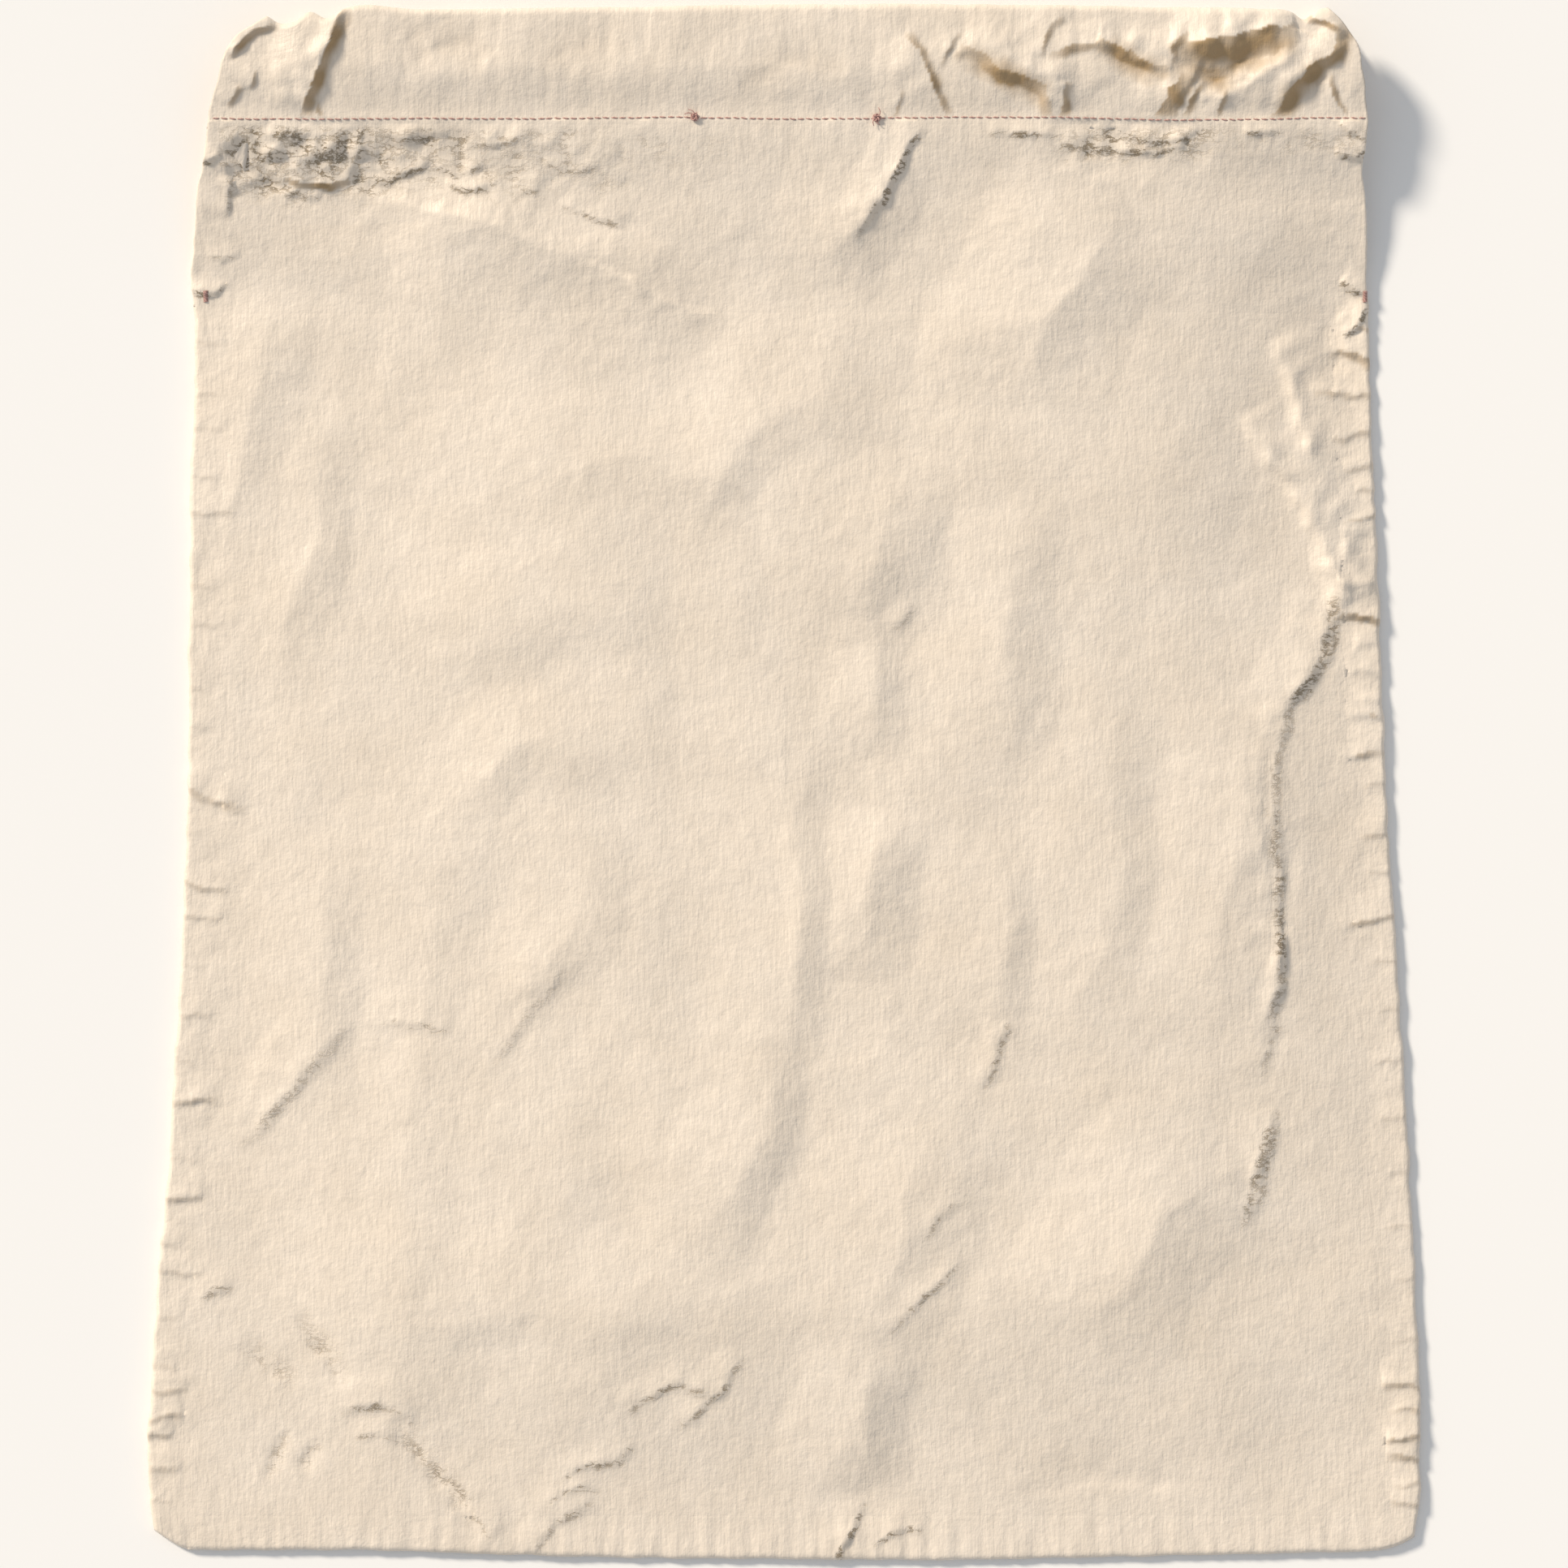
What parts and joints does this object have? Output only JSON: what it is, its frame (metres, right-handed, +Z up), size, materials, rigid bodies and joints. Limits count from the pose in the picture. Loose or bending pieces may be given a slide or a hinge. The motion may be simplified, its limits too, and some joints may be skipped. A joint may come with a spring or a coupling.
{
  "type": "shoe bag",
  "caption": "Flat drawstring shoe bag in crinkled light cloth, tapered towards a mouth with two hemmed cord casings, side slits and enclosed side seams.",
  "frame": {"origin": "under the middle of the bag as it lies on its back, on the surface it lies on", "axes": "+X to the bag's right seen from the front, +Y from the bottom fold to the mouth, +Z up, out of the front cloth"},
  "size_m": [0.33, 0.4, 0.0162],
  "materials": {
    "cloth": "satin",
    "thread": "satin",
    "label": "satin"
  },
  "bodies": {
    "pouch": {"front_panel": "cloth", "back_panel": "cloth", "bottom_fold": "cloth", "left_seam_allowance": "cloth", "right_seam_allowance": "cloth", "left_seam_thread": "thread", "right_seam_thread": "thread"},
    "mouth_end": {"front_yoke": "cloth", "back_yoke": "cloth", "left_seam_top": "cloth", "right_seam_top": "cloth", "left_bar_tack": "thread", "right_bar_tack": "thread", "back_left_slit_hem": "cloth", "back_right_slit_hem": "cloth", "back_casing": "cloth", "back_casing_thread": "thread"},
    "front_lip": {"front_lip_cloth": "cloth", "front_left_slit_hem": "cloth", "front_right_slit_hem": "cloth", "front_casing": "cloth", "front_casing_thread": "thread", "left_back_tack": "thread", "right_back_tack": "thread", "woven_label": "label"}
  },
  "joints": [
    {"name": "mouth_fold", "type": "hinge", "parent": "pouch", "child": "mouth_end", "pos_m": [0, 0.114, 0.0072], "axis": [1, 0, 0], "range_deg": [0, 115]},
    {"name": "mouth_open", "type": "hinge", "parent": "mouth_end", "child": "front_lip", "pos_m": [0, 0.128, 0.0072], "axis": [1, 0, 0], "range_deg": [0, 60]}
  ]
}
